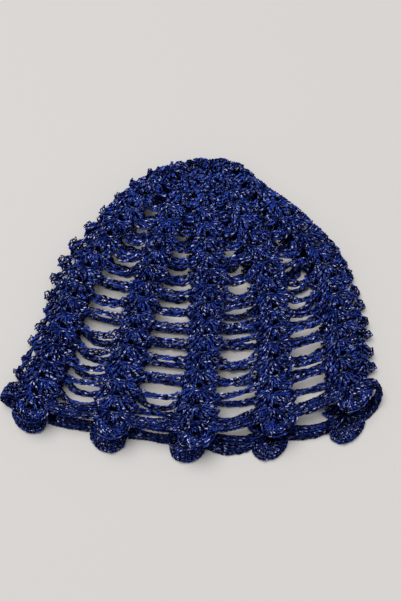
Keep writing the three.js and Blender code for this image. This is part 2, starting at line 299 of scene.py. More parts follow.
def crochet(name, bundles, nodes, finish, seed):
    rng = np.random.default_rng(seed)
    points, quads, ends, quad_uv, end_uv, painted_shading = [], [], [], [], [], []
    base = 0
    for paths, radius, light in bundles:
        count, steps, _ = paths.shape
        light = np.broadcast_to(np.asarray(light, float), (count, steps))
        painted_shading.append(np.repeat(light.ravel(), YARN_SIDES))
        skinned = skin(paths, radius)
        q, e = strand_faces(count, steps)
        lengths = np.linalg.norm(np.diff(paths, axis=1), axis=-1)
        u = np.concatenate([np.zeros((count, 1)), np.cumsum(lengths, 1)], 1)
        u = u + rng.uniform(0, BALL_LENGTH, (count, 1))
        v0 = rng.uniform(0, 1, (count, 1, 1))
        v = np.arange(YARN_SIDES + 1)[None, None, :] / YARN_SIDES + v0
        grid = np.stack(np.broadcast_arrays(u[:, :, None], v), -1)
        corner = np.stack([grid[:, :-1, :-1], grid[:, :-1, 1:], grid[:, 1:, 1:], grid[:, 1:, :-1]], 3)
        points.append(skinned.reshape(-1, 3))
        quads.append(q + base)
        ends.append(e + base)
        quad_uv.append(corner.reshape(-1, 2))
        end_uv.append(np.zeros((2 * count * YARN_SIDES, 2)))
        base += count * steps * YARN_SIDES
    points, quads, ends = np.concatenate(points), np.concatenate(quads), np.concatenate(ends)
    corners = np.concatenate([quads.ravel(), ends.ravel()])
    sizes = np.concatenate([np.full(len(quads), 4), np.full(len(ends), YARN_SIDES)])
    starts = np.concatenate([[0], np.cumsum(sizes)[:-1]])
    mesh = bpy.data.meshes.new(name)
    mesh.vertices.add(len(points))
    mesh.vertices.foreach_set("co", (points * MM).ravel())
    mesh.loops.add(len(corners))
    mesh.loops.foreach_set("vertex_index", corners.astype(np.int32))
    mesh.polygons.add(len(sizes))
    mesh.polygons.foreach_set("loop_start", starts.astype(np.int32))
    mesh.polygons.foreach_set("loop_total", sizes.astype(np.int32))
    mesh.polygons.foreach_set("use_smooth", np.ones(len(sizes), bool))
    mesh.update(calc_edges=True)
    yarn_map = mesh.uv_layers.new(name="yarn")
    yarn_map.data.foreach_set("uv", np.concatenate(quad_uv + end_uv).ravel())
    # The "light" attribute is painted light and shade: the yarn finish multiplies the colour by it.
    painted_light_attribute = mesh.attributes.new("light", "FLOAT", "POINT")
    painted_light_attribute.data.foreach_set("value", np.concatenate(painted_shading).astype(np.float32))
    mesh.materials.append(finish)
    piece = bpy.data.objects.new(name, mesh)
    bpy.context.collection.objects.link(piece)
    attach(piece, "root")
    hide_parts(*nodes)


YARN_MEASURES = {"Thread Width": 0.44, "Ply Length": 5.6, "Glint Length": 3.4, "Twist Highlight Length": 2.6}
PLIES = 3
GLINT_SHARE = 0.8
DULL_GLINTS_FROM = 0.48
DULL_GLINT = 0.3
BRIGHT_GLINTS_FROM = 0.76
MOTTLE_SCALE = 130
MOTTLE_DETAIL = 3
MOTTLE_SHARE = 0.7
PLY_SHARE = 0.1
TWIST_HIGHLIGHT_SHARE = 0.42
TWIST_HIGHLIGHTS_APART_FROM_GLINTS = 0.37


def plied_yarn_group():
    group = bpy.data.node_groups.new("plied_yarn", "ShaderNodeTree")
    for name, value in YARN_MEASURES.items():
        socket = group.interface.new_socket(name, in_out="INPUT", socket_type="NodeSocketFloat")
        socket.default_value = value
    for name in ("Silver Glint", "Tone And Painted Light", "Relief"):
        group.interface.new_socket(name, in_out="OUTPUT", socket_type="NodeSocketFloat")
    nodes, links = group.nodes, group.links
    given, put_out = nodes.new("NodeGroupInput"), nodes.new("NodeGroupOutput")

    def maths(operation, a, b=None, c=None):
        node = nodes.new("ShaderNodeMath")
        node.operation = operation
        for socket, value in zip(node.inputs, (a, b, c)):
            if value is None:
                continue
            if isinstance(value, (int, float)):
                socket.default_value = value
            else:
                links.new(value, socket)
        return node.outputs[0]

    uv = nodes.new("ShaderNodeUVMap")
    uv.uv_map = "yarn"
    split = nodes.new("ShaderNodeSeparateXYZ")
    links.new(uv.outputs[0], split.inputs[0])
    length, around = split.outputs[0], split.outputs[1]
    helix = maths("ADD", around, maths("DIVIDE", length, given.outputs["Ply Length"]))
    in_thread = maths("LESS_THAN", maths("FRACT", helix), given.outputs["Thread Width"])
    # Painted glints: the silver thread shows only in random dashes, dull or bright.
    cell = maths("DIVIDE", length, given.outputs["Glint Length"])
    chance = nodes.new("ShaderNodeTexWhiteNoise")
    chance.noise_dimensions = "1D"
    links.new(maths("FLOOR", cell), chance.inputs["W"])
    glint = nodes.new("ShaderNodeValToRGB")
    glint.color_ramp.interpolation = "CONSTANT"
    glint.color_ramp.elements[0].color = (0, 0, 0, 1)
    glint.color_ramp.elements[1].position = DULL_GLINTS_FROM
    glint.color_ramp.elements[1].color = (DULL_GLINT, DULL_GLINT, DULL_GLINT, 1)
    brightest = glint.color_ramp.elements.new(BRIGHT_GLINTS_FROM)
    brightest.color = (1, 1, 1, 1)
    links.new(chance.outputs["Value"], glint.inputs[0])
    lit = maths("LESS_THAN", maths("FRACT", cell), GLINT_SHARE)
    silver_glint = maths("MULTIPLY", maths("MULTIPLY", in_thread, lit), glint.outputs["Color"])
    # The ply pattern gives the bump, and a little painted shading of the plies in the colour.
    plies = maths("SINE", maths("MULTIPLY", helix, 2 * math.pi * PLIES))
    place = nodes.new("ShaderNodeTexCoord")
    mottle = nodes.new("ShaderNodeTexNoise")
    mottle.inputs["Scale"].default_value = MOTTLE_SCALE
    mottle.inputs["Detail"].default_value = MOTTLE_DETAIL
    links.new(place.outputs["Object"], mottle.inputs["Vector"])
    # Painted highlights: short lengths of yarn are painted lighter, as where the twisting yarn turns its
    # flat side to the light.
    twist_highlight = nodes.new("ShaderNodeTexWhiteNoise")
    twist_highlight.noise_dimensions = "1D"
    twist_highlight_cell = maths("FLOOR", maths("DIVIDE", length, given.outputs["Twist Highlight Length"]))
    links.new(maths("ADD", twist_highlight_cell, TWIST_HIGHLIGHTS_APART_FROM_GLINTS), twist_highlight.inputs["W"])
    # The mottle is the yarn's own uneven tone; the ply shading and the twist highlights added to it are
    # painted light and shade.
    mottle_and_ply_shade = maths("MULTIPLY_ADD", mottle.outputs["Fac"], MOTTLE_SHARE, maths("MULTIPLY", plies, PLY_SHARE))
    tone_and_painted_light = maths("MULTIPLY_ADD", twist_highlight.outputs["Value"], TWIST_HIGHLIGHT_SHARE, mottle_and_ply_shade)
    links.new(silver_glint, put_out.inputs["Silver Glint"])
    links.new(tone_and_painted_light, put_out.inputs["Tone And Painted Light"])
    links.new(plies, put_out.inputs["Relief"])
    return group


YARN_GROUP = plied_yarn_group()
DARK_FROM = 0.42
LIGHT_FROM = 0.86
HOLLOW_REACH = 0.004
HOLLOW_DARKER = 2.7
HOLLOW_SAMPLES = 4
SILVER_METAL = 0.35
YARN_ROUGHNESS = 0.65
SILVER_ROUGHNESS = 0.3
PLY_RELIEF = 0.35
PLY_DEPTH = 0.0002
YARN_GLOSS = 0.03


# Between the strands less light gets in, so there the colour is painted darker: painted shade from an
# ambient occlusion node and from the "light" attribute, more so in the inner yarn.
def yarn_finish(name, painted_shade_colour, light, silver_glint):
    finish = bpy.data.materials.new(name)
    finish.use_nodes = True
    nodes, links = finish.node_tree.nodes, finish.node_tree.links
    shader = nodes["Principled BSDF"]
    yarn = nodes.new("ShaderNodeGroup")
    yarn.node_tree = YARN_GROUP
    for measure, value in YARN_MEASURES.items():
        yarn.inputs[measure].default_value = value
    # The dye ramp runs from a near-black blue, painted shade, to the yarn's own bright blue; the painted
    # twist highlights and ply shading move the colour between them.
    dyed = nodes.new("ShaderNodeValToRGB")
    dyed.color_ramp.elements[0].position = DARK_FROM
    dyed.color_ramp.elements[0].color = (*painted_shade_colour, 1)
    dyed.color_ramp.elements[1].position = LIGHT_FROM
    dyed.color_ramp.elements[1].color = (*light, 1)
    links.new(yarn.outputs["Tone And Painted Light"], dyed.inputs[0])
    mixed = nodes.new("ShaderNodeMix")
    mixed.data_type = "RGBA"
    links.new(yarn.outputs["Silver Glint"], mixed.inputs["Factor"])
    links.new(dyed.outputs[0], mixed.inputs["A"])
    mixed.inputs["B"].default_value = (*silver_glint, 1)
    # Painted shade: the ambient occlusion darkens the colour in hollows.
    painted_hollow_shade = nodes.new("ShaderNodeAmbientOcclusion")
    painted_hollow_shade.samples = HOLLOW_SAMPLES
    painted_hollow_shade.inputs["Distance"].default_value = HOLLOW_REACH
    shaded = nodes.new("ShaderNodeMix")
    shaded.data_type = "RGBA"
    shaded.blend_type = "MULTIPLY"
    shaded.inputs["Factor"].default_value = 1
    links.new(mixed.outputs["Result"], shaded.inputs["A"])
    darkened_hollow_shade = nodes.new("ShaderNodeMath")
    darkened_hollow_shade.operation = "POWER"
    links.new(painted_hollow_shade.outputs["AO"], darkened_hollow_shade.inputs[0])
    darkened_hollow_shade.inputs[1].default_value = HOLLOW_DARKER
    # The "light" attribute paints shade, and a highlight where above 1, into the colour.
    painted_light_reader = nodes.new("ShaderNodeAttribute")
    painted_light_reader.attribute_name = "light"
    painted_shading = nodes.new("ShaderNodeMath")
    painted_shading.operation = "MULTIPLY"
    links.new(darkened_hollow_shade.outputs[0], painted_shading.inputs[0])
    links.new(painted_light_reader.outputs["Fac"], painted_shading.inputs[1])
    links.new(painted_shading.outputs[0], shaded.inputs["B"])
    links.new(shaded.outputs["Result"], shader.inputs["Base Color"])
    metal = nodes.new("ShaderNodeMath")
    metal.operation = "MULTIPLY"
    metal.inputs[1].default_value = SILVER_METAL
    links.new(yarn.outputs["Silver Glint"], metal.inputs[0])
    links.new(metal.outputs[0], shader.inputs["Metallic"])
    rough = nodes.new("ShaderNodeMapRange")
    rough.inputs["To Min"].default_value = YARN_ROUGHNESS
    rough.inputs["To Max"].default_value = SILVER_ROUGHNESS
    links.new(yarn.outputs["Silver Glint"], rough.inputs["Value"])
    links.new(rough.outputs[0], shader.inputs["Roughness"])
    bump = nodes.new("ShaderNodeBump")
    bump.inputs["Strength"].default_value = PLY_RELIEF
    bump.inputs["Distance"].default_value = PLY_DEPTH
    links.new(yarn.outputs["Relief"], bump.inputs["Height"])
    links.new(bump.outputs[0], shader.inputs["Normal"])
    shader.inputs["Specular IOR Level"].default_value = YARN_GLOSS
    return finish


# The crown is worked first: a ring of posts round the tip, then five rows in which ten shells of posts
# fan out from the row before, with a chain of loops along their tops that crosses to the next shell.
# Chain stitches are loops pulled through each other, so each shows as a V over a bump at the back.
CROWN_ROWS = 5
LOOP_LENGTH = 4.1
CLOSE_LOOP = 2.7

# One loop of a chain: along it in parts of its pitch, across it and up in parts of its half sizes.
LOOP = np.array((
    (0.05, -0.30, -0.45),
    (0.55, -0.80, 0.25),
    (1.15, -1.00, 0.55),
    (1.75, -0.62, 0.20),
    (1.98, 0.00, -0.10),
    (1.75, 0.62, 0.20),
    (1.15, 1.00, 0.55),
    (0.55, 0.80, 0.25),
    (0.05, 0.30, -0.45),
    (0.50, 0.10, -1.00),
))
LOOP_HALF_WIDTH = 1.9
LOOP_HALF_DEPTH = 0.9
LOOP_UNEVEN = (0.75, 1.2)
LOOP_TWIST = 0.2
CLOSE_OPENNESS = 0.8
PAST_THE_END = 0.6
NEXT_ALONG = 0.4
LEAST_WAY = 1e-6


def chain(turns, reaches, heights, twists, openness, loop, rng):
    places = middle(turns, reaches)
    s = np.concatenate([[0], np.cumsum(np.linalg.norm(np.diff(places, axis=0), axis=1))])
    loops = max(1, round(s[-1] / loop))
    pitch = s[-1] / loops
    x = ((np.arange(loops)[:, None] + LOOP[None, :, 0]) * pitch).ravel()
    x = np.minimum(x, s[-1] + PAST_THE_END * pitch)
    width = np.repeat(rng.uniform(*LOOP_UNEVEN, loops), len(LOOP)) * np.interp(x, s, openness)
    side = np.tile(LOOP[:, 1], loops) * LOOP_HALF_WIDTH * width
    rise = np.tile(LOOP[:, 2], loops) * LOOP_HALF_DEPTH

    def at(values, x):
        inner = np.interp(x, s, values)
        end_slope = (values[-1] - values[-2]) / (s[-1] - s[-2])
        return inner + np.maximum(0, x - s[-1]) * end_slope

    turned = at(twists, x) + np.repeat(rng.normal(0, LOOP_TWIST, loops), len(LOOP))
    across = side * np.cos(turned) - rise * np.sin(turned)
    depth = side * np.sin(turned) + rise * np.cos(turned)
    turn, reach, height = at(turns, x), at(reaches, x), at(heights, x)
    d_turn = (at(turns, x + NEXT_ALONG) - at(turns, x - NEXT_ALONG)) * turn_length(reach)
    d_reach = at(reaches, x + NEXT_ALONG) - at(reaches, x - NEXT_ALONG)
    norm = np.maximum(np.hypot(d_turn, d_reach), LEAST_WAY)
    turn = turn - across * d_reach / norm / turn_length(reach)
    reach = reach + across * d_turn / norm
    return fabric(turn, reach, height + depth)[None]


def level_chain(turns, reaches, height, rng, openness=CLOSE_OPENNESS, loop=CLOSE_LOOP):
    level = np.zeros(len(turns))
    return chain(turns, reaches, level + height, level, level + openness, loop, rng)


def on_rib(axis, across, reach, height):
    return fabric(axis + across / turn_length(reach), reach, height)


# A post is two twisted strands with a third wound once round them. Its foot is deep in the fabric, in the
# shade, and its colour is painted darker there as painted shade and a little lighter at the top as a
# painted highlight. Behind the posts more yarn lies along the inside, so that no board shows between them.
POST_STEPS = 6
POST_HALF_WIDTH = 0.68
POST_HALF_DEPTH = 0.55
POST_TWIST = 1.8 * math.pi
TWIST_UNEVEN = 0.5
LIFT_UNEVEN = 0.25
FOOT_WIDTH = 0.55
FOOT_WIDENING = 0.45
FOOT_HEIGHT = -1.3
POST_RISE = 2.1
POST_LIFT = 0.4
# The post's light values are painted light: its colour is painted darker at the foot and lighter at the
# top.
FOOT_LIGHT = 0.2
TOP_LIGHT = 1.1
LIGHT_GAIN = 2.6
WRAP_LENGTH = 3.4
WRAP_PLACE = 0.62
WRAP_UNEVEN = 0.5
WRAP_STANDS_OUT = 0.5
WRAP_HALF_DEPTH = 0.95
WRAP_SUNK = 0.1
WRAP_YARN = YARN_RADIUS * 0.92
INNER_STEPS = 4
INNER_YARN = 0.72
INNER_DEPTH = 1.5
INNER_UNEVEN = 0.3
INNER_DEPTH_UNEVEN = 0.4
# INNER_LIGHT and SHOWN_INNER_LIGHT are painted shade on the inner yarn: darker on the front ribs, less dark
# on the back ribs.
INNER_LIGHT = 0.42
SHOWN_INNER_LIGHT = 0.9
HOLE_DEPTH = 1.3


def post_legs(axis, feet, tops, lift, rng):
    t = np.linspace(0, 1, POST_STEPS)[None, :]
    foot, top = feet[:, None, :], tops[:, None, :]
    centre = foot + (top - foot) * t[..., None]
    along = (tops - feet) / np.linalg.norm(tops - feet, axis=1, keepdims=True)
    beside = np.stack([-along[:, 1], along[:, 0]], -1)[:, None, :]
    twist = math.pi / 2 + POST_TWIST * t + rng.uniform(-TWIST_UNEVEN, TWIST_UNEVEN, (len(feet), 1))
    raised = lift * np.sin(math.pi * t) + rng.normal(0, LIFT_UNEVEN, (len(feet), 1))
    strands = []
    for way in (1, -1):
        spread = POST_HALF_WIDTH * way * np.cos(twist) * (FOOT_WIDTH + FOOT_WIDENING * t)
        height = POST_HALF_DEPTH * way * np.sin(twist) + FOOT_HEIGHT + POST_RISE * t + raised
        place = centre + beside * spread[..., None]
        strands.append(on_rib(axis, place[..., 0], place[..., 1], height))
    # Painted shade at the foot and a painted highlight at the top, for the "light" attribute.
    light = FOOT_LIGHT + (TOP_LIGHT - FOOT_LIGHT) * smooth(LIGHT_GAIN * t)
    return np.concatenate(strands), np.tile(light, (2 * len(feet), 1))


def post_wraps(axis, feet, tops, share, lift, rng):
    t = np.linspace(-0.5, 0.5, POST_STEPS)[None, :]
    length = np.linalg.norm(tops - feet, axis=1, keepdims=True)
    along = (tops - feet) / length
    beside = np.stack([-along[:, 1], along[:, 0]], -1)[:, None, :]
    where = share * length + rng.uniform(-WRAP_UNEVEN, WRAP_UNEVEN, length.shape) + WRAP_LENGTH * t
    centre = feet[:, None, :] + along[:, None, :] * where[..., None]
    twist = 2 * math.pi * t + math.pi / 2
    place = centre + beside * ((POST_HALF_WIDTH + WRAP_STANDS_OUT) * np.cos(twist))[..., None]
    height = WRAP_HALF_DEPTH * np.sin(twist) + lift - WRAP_SUNK
    return on_rib(axis, place[..., 0], place[..., 1], height)


def posts(axis, feet, tops, rng, lift=POST_LIFT):
    legs, light = post_legs(axis, feet, tops, lift, rng)
    wraps = post_wraps(axis, feet, tops, WRAP_PLACE, lift, rng)
    return [(legs, YARN_RADIUS, light), (wraps, WRAP_YARN, 1)]


def inner_yarn(axis, feet, tops, rng, foot_deeper=0):
    t = np.linspace(0, 1, INNER_STEPS)[None, :, None]
    aside = rng.normal(0, INNER_UNEVEN, (len(feet), 1, 2)) * np.sin(math.pi * t)
    place = feet[:, None, :] + (tops - feet)[:, None, :] * t + aside
    height = rng.uniform(-INNER_DEPTH_UNEVEN, INNER_DEPTH_UNEVEN, (len(feet), 1)) - INNER_DEPTH
    height = height - foot_deeper * (1 - t[..., 0])
    # Painted shade: the inner yarn's colour is darker on the front ribs, and darker still towards a sunken
    # foot.
    inner_painted_shade = SHOWN_INNER_LIGHT if axis > FRONT_RIBS else INNER_LIGHT
    light = inner_painted_shade * (1 - (1 - t[..., 0]) * min(1, foot_deeper)) + np.zeros((len(feet), 1))
    return on_rib(axis, place[..., 0], place[..., 1], height), INNER_YARN, light


# A shell is a fan of posts round a hole. Its rim is given across in half ribs and down in rows, and the
# chain that its posts hold runs along the lower part of it and over a loop below the next hole.
SHELL_RIM = ((0.28, 1.04), (0.62, 0.99), (1.03, 0.78), (1.08, 0.54), (0.92, 0.3), (0.78, 0.04))
SHELL_EDGE = ((-1.06, 0.62), (-0.9, 0.86), (-0.62, 1.04), (-0.3, 1.2), (0, 1.28))
HOLE_RADIUS = 2.5
CENTRE_POST = 0.84
BACK_NARROWER = 0.9
CROWN_NARROWER = {1: 0.74, 2: 0.76, 3: 0.8, 4: 0.86}
CROWN_POSTS_A_SIDE = {1: 3, 2: 4, 3: 5}
POSTS_A_SIDE = 6
TOP_UNEVEN = 0.35
INNER_SHARE = 0.94
INNER_TOP_UNEVEN = 0.4
INNER_FEET = 0.1
HELD_PLACE = 0.9
HELD_LIFT = 0.5


def half_shell(rib, row):
    narrower = CROWN_NARROWER.get(row, 1) * (BACK_NARROWER if rib > FRONT_RIBS else 1)
    return narrower * half_rib(row_reach(row))


def shell(rib, row, rng):
    hole = row_reach(row - 1)
    rim = np.array(SHELL_RIM) * (half_shell(rib, row), ROW_PITCH)
    along = np.concatenate([[0], np.cumsum(np.linalg.norm(np.diff(rim, axis=0), axis=1))])
    place = np.linspace(0, along[-1], CROWN_POSTS_A_SIDE.get(row, POSTS_A_SIDE))
    side = np.stack([np.interp(place, along, rim[:, 0]), np.interp(place, along, rim[:, 1])], -1)
    tops = np.concatenate([side[::-1] * (-1, 1), [[0, CENTRE_POST * ROW_PITCH]], side])
    tops = tops + rng.normal(0, TOP_UNEVEN, tops.shape)
    feet = HOLE_RADIUS * tops / np.linalg.norm(tops, axis=1, keepdims=True)
    around = INNER_SHARE * (tops[1:] + tops[:-1]) / 2
    around = around + rng.normal(0, INNER_TOP_UNEVEN, around.shape)
    axis = rib - 0.5
    down = (0, hole)
    inside = inner_yarn(axis, INNER_FEET * around[::-1] + down, around + down, rng, HOLE_DEPTH)
    held = post_wraps(axis, feet + down, tops + down, HELD_PLACE, HELD_LIFT, rng)
    return posts(axis, feet + down, tops + down, rng) + [inside, (held, YARN_RADIUS, 1)]


def shell_edge(rib, row):
    half = half_shell(rib, row)
    shape = np.array(SHELL_EDGE)
    shape = np.concatenate([shape, (shape * (-1, 1))[-2::-1]])
    reach = row_reach(row - 1) + shape[:, 1] * ROW_PITCH
    return rib - 0.5 + shape[:, 0] * half / turn_length(reach), reach


# Between two shells the chain hangs free, each in its own way: no two arcs in the real hat are alike.
# HANGS gives how deep each one hangs, in parts of CHAIN_DROOP times its width, for rows 5 to 15 of each
# rib. Ribs 5 and 10 carry their chains round the folds, where they lie flat along the fold in two loops.
CHAIN_DROOP = 0.15
HANGS = {
    1: (1.7, 1.8, 1.8, 1.7, -0.1, 1.3, -0.1, 1.1, 1.1, 1.1, 0.5),
    2: (-0.1, 1.8, 0.5, 1.7, 0.2, 1.4, 0.2, -0.1, -0.1, -0.1, 0.5),
    3: (1.7, 1.1, -0.1, 1.8, 1.7, -0.1, 0.5, 0.2, 1.4, 1.1, 0.5),
    4: (1.8, 1.1, 1.8, -0.1, 1.1, 1.4, 0.8, 0.2, -0.1, 0.8, -0.1),
    5: (0.8, 1.3, 0.9, 1.4, 1.0, 1.2, 0.7, 1.3, 0.8, 1.2, 1.0),
    6: (1.1, -0.1, 1.8, 1.4, 1.7, 0.8, 0.5, 0.8, -0.1, 0.2, 1.1),
    7: (-0.1, 1.8, 0.2, 1.8, 1.1, 0.2, -0.1, 0.5, -0.1, 0.5, 1.1),
    8: (-0.1, 1.4, 0.5, 1.4, -0.1, 0.2, -0.1, 0.2, -0.1, 1.8, -0.1),
    9: (1.8, -0.1, 0.5, 0.8, -0.1, 0.5, 1.8, 1.8, 1.7, 1.7, 1.1),
    10: (1.2, 0.8, 1.3, 0.9, 1.1, 1.4, 0.8, 1.2, 0.9, 1.3, 1.0),
}
FIRST_HANGING = 5
EARLY_HANG = (0.6, 1.2)
HANG_POINTS = 9
HANG_FULLNESS = 3
FINE_STEPS = 6
EASED_OVER = 4
EDGE_RAISED = -0.9
EDGE_OPENNESS = 0.5
HANGING_OPENNESS = 0.95
ROOT_WIDER = 0.6
ROOT_NARROWING = 4
HANGING_LIFT_UNEVEN = 0.4
HANGING_TWIST_UNEVEN = 0.5
CHAIN_YARN = YARN_RADIUS * 1.3

# At a fold each loop swings along the fold and stands out from it, by the two sizes in FOLD_LOOPS, from
# a base that is tucked in. The loops grow with the rows, up to FULL_LOOP, and lie flat on the board. A
# chain that ends lower than it began is held up until it is round the fold.
FOLD_LOOPS = {5: ((2.3, 9.0), (-2.0, 6.6)), 10: ((3.3, 6.4), (-2.7, 4.2))}
FOLD_TUCK = {5: -7.0, 10: -3.8}
FOLD_REST = 0.18
FOLD_LOOP_GROWTH = 0.2
FULL_LOOP = 1.15
FOLD_LOOP_UNEVEN = (0.75, 1.15)
FOLD_OPENNESS = 1.25
FOLD_SWING_HALF = 0.4
FLAT_GAIN = 1.6
FLAT_FROM = 0.5
HELD_UP_GAIN = 1.7
HELD_UP_FROM = 0.35
LET_GO_GAIN = 4


def hanging_edge(rib, row, hang):
    turn, reach = shell_edge(rib, row)
    next_turn = shell_edge(rib % RIBS + 1, row)[0] + (RIBS if rib == RIBS else 0)
    share = np.linspace(0, 1, HANG_POINTS + 2)[1:-1]
    wide = (next_turn[0] - turn[-1]) * turn_length(reach[-1])
    hung = reach[-1] + hang * CHAIN_DROOP * wide * (1 - np.abs(2 * share - 1) ** HANG_FULLNESS)
    return turn[-1] + (next_turn[0] - turn[-1]) * share, hung, next_turn[0], reach[-1]


def eased(values):
    window = 2 * EASED_OVER + 1
    padded = np.pad(values, EASED_OVER, mode="reflect", reflect_type="odd")
    soft = np.convolve(padded, np.ones(window) / window, "valid")
    soft[0], soft[-1] = values[0], values[-1]
    return soft


def row_chain(rib, row, rng):
    turn, reach = shell_edge(rib, row)
    if row == BAND_ROW:
        return [(level_chain(turn, reach, EDGE_RAISED, rng, EDGE_OPENNESS), CHAIN_YARN, 1)]
    hang = HANGS[rib][row - FIRST_HANGING] if row >= FIRST_HANGING else rng.uniform(*EARLY_HANG)
    hung_turn, hung_reach, end_turn, end_reach = hanging_edge(rib, row, hang)
    turns = np.concatenate([turn, hung_turn, [end_turn]])
    reaches = np.concatenate([reach, hung_reach, [end_reach]])
    fine = np.linspace(0, len(turns) - 1, FINE_STEPS * len(turns))
    turns = eased(np.interp(fine, range(len(turns)), turns))
    reaches = eased(np.interp(fine, range(len(reaches)), reaches))
    way = (fine - len(turn) + 1) / (len(hung_turn) + 1)
    free = np.sin(math.pi * np.clip(way, 0, 1))
    root = ROOT_WIDER * np.clip(np.abs(2 * way - 1), 0, 1) ** ROOT_NARROWING
    openness = np.where(way > 0, HANGING_OPENNESS + root, EDGE_OPENNESS)
    heights = EDGE_RAISED * (1 - free) + rng.normal(0, HANGING_LIFT_UNEVEN) * free
    turned = rng.uniform(-HANGING_TWIST_UNEVEN, HANGING_TWIST_UNEVEN) * free
    if rib % FRONT_RIBS > 0:
        return [(chain(turns, reaches, heights, turned, openness, LOOP_LENGTH, rng), CHAIN_YARN, 1)]
    from_fold = way - 0.5
    past_rest = np.clip((np.abs(from_fold) - FOLD_REST) / (0.5 - FOLD_REST), 0, 1)
    round_fold = 0.5 + 0.5 * past_rest * np.sign(from_fold)
    bent_turns = eased(np.where(way > 0, turn[-1] + (end_turn - turn[-1]) * round_fold, turns))
    along_fold = np.sin(math.pi * np.clip(from_fold / FOLD_SWING_HALF, -0.5, 0.5)) * np.sqrt(free)
    flat = math.pi / 2 * smooth(FLAT_GAIN * free - FLAT_FROM)
    drop = (LAY["up"][rib - 1] - LAY["up"][rib % RIBS]) * (reach[-1] / HEM_REACH) ** 2
    held_up = max(0, drop) * smooth(HELD_UP_GAIN * round_fold - HELD_UP_FROM)
    held_up = held_up * smooth(LET_GO_GAIN * (1 - way)) * (way > 0)
    loops = []
    for swing, out in FOLD_LOOPS[rib]:
        size = min(FULL_LOOP, FOLD_LOOP_GROWTH * row) * rng.uniform(*FOLD_LOOP_UNEVEN)
        bent = eased(reaches + size * swing * along_fold - held_up)
        raised = heights + size * (FOLD_TUCK[rib] * free + out * free**2)
        wide_open = openness * (1 + (FOLD_OPENNESS - 1) * free)
        loops.append((chain(bent_turns, bent, raised, flat, wide_open, LOOP_LENGTH, rng), YARN_RADIUS, 1))
    return loops


# In the first rows a second chain lies close below the one between two shells, on short posts near the
# tip, so only a slot is left open there. At the back it lies lower: no board shows through the slots.
# BAR_DEPTH is by row. LAST_POSTED_BAR is the last row with posts, in order from rib 1, and OPEN_BARS are
# the ribs and rows that have no second chain.
BAR_DEPTH = {1: 4.4, 2: 4.4, 3: 4.2, 4: 4.0, 5: 3.6, 6: 2.8, 7: 2.6}
BACK_BAR_DEPTH = 9.5
BAR_HANG = 0.8
BAR_HEIGHT = 0.2
BAR_OPENNESS = 0.9
OPEN_BARS = ((1, 3), (1, 4), (9, 3), (9, 4))
LAST_POSTED_BAR = (2, 3, 4, 5, 4, 5, 4, 3, 2, 4)
BAR_POST_PITCH = 2.6
BAR_POST_FEET = 0.4
BESIDE_BAR_POST = (1, 0)


def second_chain(rib, row, rng):
    if row not in BAR_DEPTH or (rib, row) in OPEN_BARS:
        return []
    posted = row <= LAST_POSTED_BAR[rib - 1]
    depth = BACK_BAR_DEPTH if posted and rib > FRONT_RIBS else BAR_DEPTH[row]
    axis = rib - 0.5
    hang = HANGS[rib][row - FIRST_HANGING] if row >= FIRST_HANGING else BAR_HANG
    hung_turn, hung_reach, end_turn, end_reach = hanging_edge(rib, row, hang)
    start_turn = shell_edge(rib, row)[0][-1]
    turns = np.concatenate([[start_turn], hung_turn, [end_turn]])
    reaches = np.concatenate([[end_reach], hung_reach, [end_reach]])
    bar = level_chain(turns, reaches + depth, BAR_HEIGHT, rng, BAR_OPENNESS, LOOP_LENGTH)
    lower = (bar, CHAIN_YARN, 1)
    if not posted:
        return [lower]
    wide = float((end_turn - start_turn) * turn_length(end_reach))
    count = max(2, round(wide / BAR_POST_PITCH))
    share = (np.arange(count) + 0.5) / count * (len(turns) - 1)
    post_turn = np.interp(share, range(len(turns)), turns)
    top = np.interp(share, range(len(turns)), reaches)
    feet = np.stack([(post_turn - axis) * turn_length(top), top + BAR_POST_FEET], -1)
    tops = np.stack([(post_turn - axis) * turn_length(top + depth), top + depth], -1)
    inside = inner_yarn(axis, feet + BESIDE_BAR_POST, tops + BESIDE_BAR_POST, rng)
    return posts(axis, feet, tops, rng, 0) + [inside, lower]


# The tip is a ring of posts, two to each rib, held by a close chain.
FIRST_FEET = 1.4
FIRST_TOPS = 9.6
FIRST_CHAIN = 10.8
FIRST_CHAIN_START = 0.25
FIRST_CHAIN_POINTS = 121
BESIDE_FIRST_FOOT = (1, 0)
BESIDE_FIRST_TOP = (1.4, 0)


def crown_middle(rng):
    bundles = []
    for k in range(2 * RIBS):
        axis = (k + 0.5) / 2
        feet = np.array([[0.0, FIRST_FEET]])
        tops = np.array([[0.0, FIRST_TOPS]])
        bundles += posts(axis, feet, tops, rng)
        bundles.append(inner_yarn(axis, feet - BESIDE_FIRST_FOOT, tops - BESIDE_FIRST_TOP, rng))
        bundles.append(inner_yarn(axis, feet + BESIDE_FIRST_FOOT, tops + BESIDE_FIRST_TOP, rng))
    turns = FIRST_CHAIN_START + np.linspace(0, RIBS, FIRST_CHAIN_POINTS)
    reaches = np.full(len(turns), FIRST_CHAIN)
    bundles.append((level_chain(turns, reaches, EDGE_RAISED, rng), YARN_RADIUS, 1))
    return bundles


# The near-black end of each dye ramp is painted shade.
PAINTED_SHADE_BLUE = (0.0002, 0.0006, 0.020)
